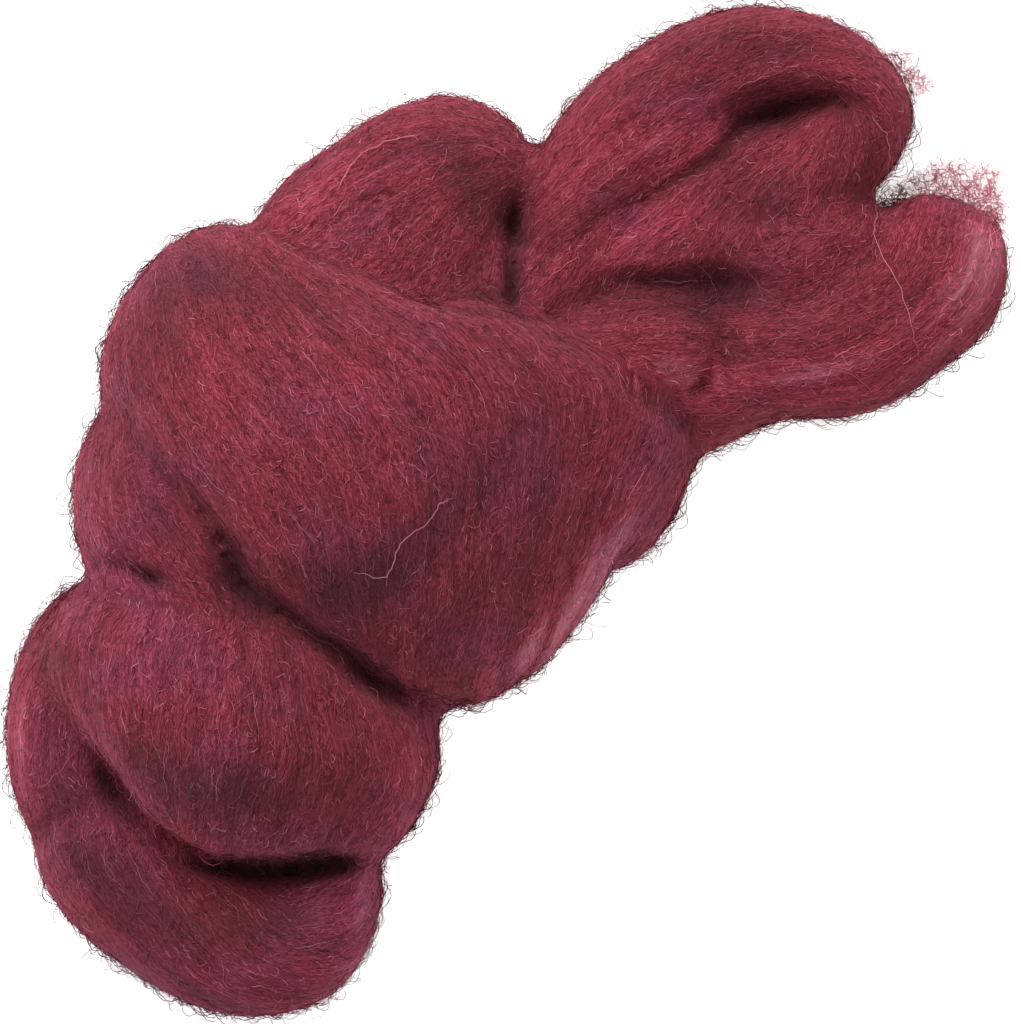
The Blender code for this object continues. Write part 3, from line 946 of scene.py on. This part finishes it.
# The curly fuzz
# Loose ends of the same hairs, which stand a millimetre or more off the hank, most of all on its
# steep sides. More of them stand out round its edge, in dark loops that lie along it.
FUZZ = Coat(3000, 9, 0.9, (0.4, 0.9), 0.5, 0.4, 0.8, 0.6, (0.04, 0.065), 1.5, 0.42)
LOOPS = Coat(3800, 12, 0.3, (0.45, 0.9), 0.5, 0.25, 1.2, 0.9, (0.06, 0.1), 1.5, 0.05)
UPRIGHT = 0.35  # what slopes less steeply than this has no loops
steep = np.clip(1.1 - np.abs(face_up), 0.35, 1.0) * np.where(face_up < -0.5, 0.3, 1)
coat("curly_fuzz", 301, FUZZ, steep, face_run)
upright = np.clip(1 - np.abs(face_up) / UPRIGHT, 0, 1)
level_run = unit(np.stack([-face_normal[:, 1], face_normal[:, 0], np.zeros(len(face_up))], -1))
coat("edge_loops", 302, LOOPS, upright, level_run)

# The stray hairs
# A few long pale hairs that lie loose over the hank, crimped as they grew. Each has rows of x, y
# where it shows from above.
STRAY_LIFT = 1.0  # how far off the skin they lie
STRAY_CRIMP = 0.22
STRAY_HALF_WIDE = 0.11
STRAY_STEPS = 7  # from row to row
STRAYS = (
    ((-39, -10), (-34, -16), (-26, -13), (-18, -14), (-12, -13), (-9, -14)),
    ((133, -21), (131, -28), (124, -34), (119, -34), (116, -39), (112, -42), (106, -59), (99, -71)),
    ((25, 60), (33, 62), (42, 60), (50, 55)),
)


def through_picture(line, lift):
    """Places on the skin, lifted off it, that show where the rows say, and the normals there."""
    aim = np.hstack([line + TABLE_ZERO[:2], np.full((len(line), 1), SEEN_LEVEL)])
    hits = [skin_tree.ray_cast(Vector(EYE), Vector(place - EYE)) for place in aim]
    hits = [hit for hit in hits if hit[0]]
    return np.array([hit[0] + hit[1] * lift for hit in hits]), np.array([hit[1] for hit in hits])


for number, rows in enumerate(STRAYS):
    draw = np.random.default_rng(350 + number)
    line = spline_through(rows, STRAY_STEPS)
    line = line + draw.normal(0, STRAY_CRIMP, line.shape)
    path, facing = through_picture(line, STRAY_LIFT)
    half_wide, roll, tint, tone = np.array([[STRAY_HALF_WIDE], [0.0], [1.0], [1.0]])
    fibre_piece(f"stray_hair_{number + 1}", path[None], facing[None], half_wide, roll, tint, tone)

# The wisps
# Thin nets of loose curls where the length of wool ends, and at the tip of the end loop.
# They are the same wool, thin enough to let the light through, and that light is painted into their colour.

# A wisp stands out from a line, from start to end, seen from above: near and far are how far out it
# reaches at the two ends of the line, and low and high the heights that it lies between.
Wisp = namedtuple("Wisp", "start end out near far low high count length")
WISPS = (
    Wisp((118, -35), (138, -63), (0.70, 0.71), 3, 15, 5, 18, 2000, 11),
    Wisp((149, -12), (147, -25), (0.75, -0.66), 4, 5, 10, 24, 220, 10),
    Wisp((142, -22), (124, -35), (0.80, -0.60), 3, 3, 8, 22, 130, 9),
)
WISP_ALONG = 0.6  # below 1, more of the curls are near the end of the line
WISP_OUT = 1.5  # above 1, more of them are close to it
WISP_WIDENS = 1.6  # how soon along the line the wisp is at its full depth
WISP_ROOT = 1.5  # how far inside the line it starts
WISP_STEP = (0.25, 0.55)
WISP_CURL = 0.4
WISP_CLIMB = 0.35
WISP_THICK = (0.04, 0.065)
WISP_ROLL = 0.6
WISP_TINT = (0.45, 0.4)  # at the start of the line, and how much lighter its end is painted, for the light through it
WISP_TINT_SPREAD = 0.2
WISP_GLOW = 0.3  # painted glow: how much lighter the thin end is painted, for the light through it


def wisp_paths(draw, wisp):
    """Curls spread over the wisp, and how far along its line each one is, from 0 to 1."""
    share = draw.random(wisp.count) ** WISP_ALONG
    start, end, out = np.array(wisp.start), np.array(wisp.end), np.array(wisp.out)
    depth = wisp.near + (wisp.far - wisp.near) * np.minimum(share * WISP_WIDENS, 1)
    off = (draw.random(wisp.count) ** WISP_OUT * depth - WISP_ROOT)[:, None]
    foot = start + (end - start) * share[:, None] + off * out
    level = draw.uniform(wisp.low, wisp.high, wisp.count)
    place = np.hstack([foot + TABLE_ZERO[:2], level[:, None]])
    heading = draw.uniform(0, 2 * math.pi, wisp.count)
    curl = draw.normal(0, WISP_CURL, wisp.count)
    step = draw.uniform(*WISP_STEP, wisp.count)
    path = []
    for _ in range(wisp.length):
        path.append(place)
        heading = heading + curl + draw.normal(0, WISP_CURL, wisp.count)
        climb = draw.normal(0, WISP_CLIMB, wisp.count)
        place = place + np.stack([np.cos(heading), np.sin(heading), climb], -1) * step[:, None]
    return np.stack(path, 1), share


for number, wisp in enumerate(WISPS):
    draw = np.random.default_rng(400 + number)
    paths, share = wisp_paths(draw, wisp)
    facing = np.zeros(paths.shape) + (0, 0, 1)
    # painted light: the curls are painted lighter towards the outer end of the wisp
    tint = draw.normal(WISP_TINT[0] + WISP_TINT[1] * share, WISP_TINT_SPREAD)
    half_wide = draw.uniform(*WISP_THICK, wisp.count)
    roll = draw.normal(0, WISP_ROLL, wisp.count)
    fibre_piece(f"wisp_{number + 1}", paths, facing, half_wide, roll, tint, 1 + WISP_GLOW * share)

# The floor
# A plain white sheet that glows of itself, so that it shows white and the hank's shadow on it is faint.
FLOOR_REACH = 4000
FLOOR_FINISH = {
    "Base Color": (0.6, 0.6, 0.6, 1.0),
    "Roughness": 1.0,
    "Specular IOR Level": 0.0,
    "Emission Color": (1.0, 1.0, 1.0, 1.0),
    "Emission Strength": 0.92,
}
floor_corners = [(x * FLOOR_REACH, y * FLOOR_REACH, 0) for x, y in ((-1, -1), (1, -1), (1, 1), (-1, 1))]
floor = mesh_object("floor", floor_corners, [(0, 1, 2, 3)])
floor.data.materials.append(finished("floor_white", FLOOR_FINISH)[0])

# The studio light
# White light from all round, and one large soft light, high up towards the top of the picture.
WHITE = (1.0, 1.0, 1.0, 1.0)
AROUND = 0.40
LIGHT_PLACE = (0.5, 1.5, 1.9)  # in metres
LIGHT_SIZE = 1.2
LIGHT_POWER = 50
world = bpy.data.worlds.new("studio")
world.use_nodes = True
background = world.node_tree.nodes["Background"]
background.inputs["Color"].default_value = WHITE
background.inputs["Strength"].default_value = AROUND
bpy.context.scene.world = world
light = bpy.data.lights.new("key_light", "AREA")
light.shape = "SQUARE"
light.size = LIGHT_SIZE
light.energy = LIGHT_POWER
lamp = placed("key_light", light)
lamp.location = LIGHT_PLACE
lamp.rotation_euler = (-Vector(LIGHT_PLACE)).to_track_quat("-Z", "Y").to_euler()
bpy.context.scene.view_settings.view_transform = "Standard"

# The camera
# It looks straight down from 1.2 m above, and sees the hank from corner to corner.
PICTURE_HEIGHT = 256.0  # what the picture shows of the level at which the hank was measured
SENSOR = 36.0
CAMERA_TURN = -45
camera_data = bpy.data.cameras.new("camera")
camera_data.sensor_width = SENSOR
camera_data.lens = SENSOR * (EYE[2] - SEEN_LEVEL) / PICTURE_HEIGHT
camera_data.clip_start = 0.1
camera_data.clip_end = 20.0
camera = placed("camera", camera_data)
camera.location = EYE * MM
camera.rotation_euler = (0.0, 0.0, math.radians(CAMERA_TURN))
bpy.context.scene.camera = camera
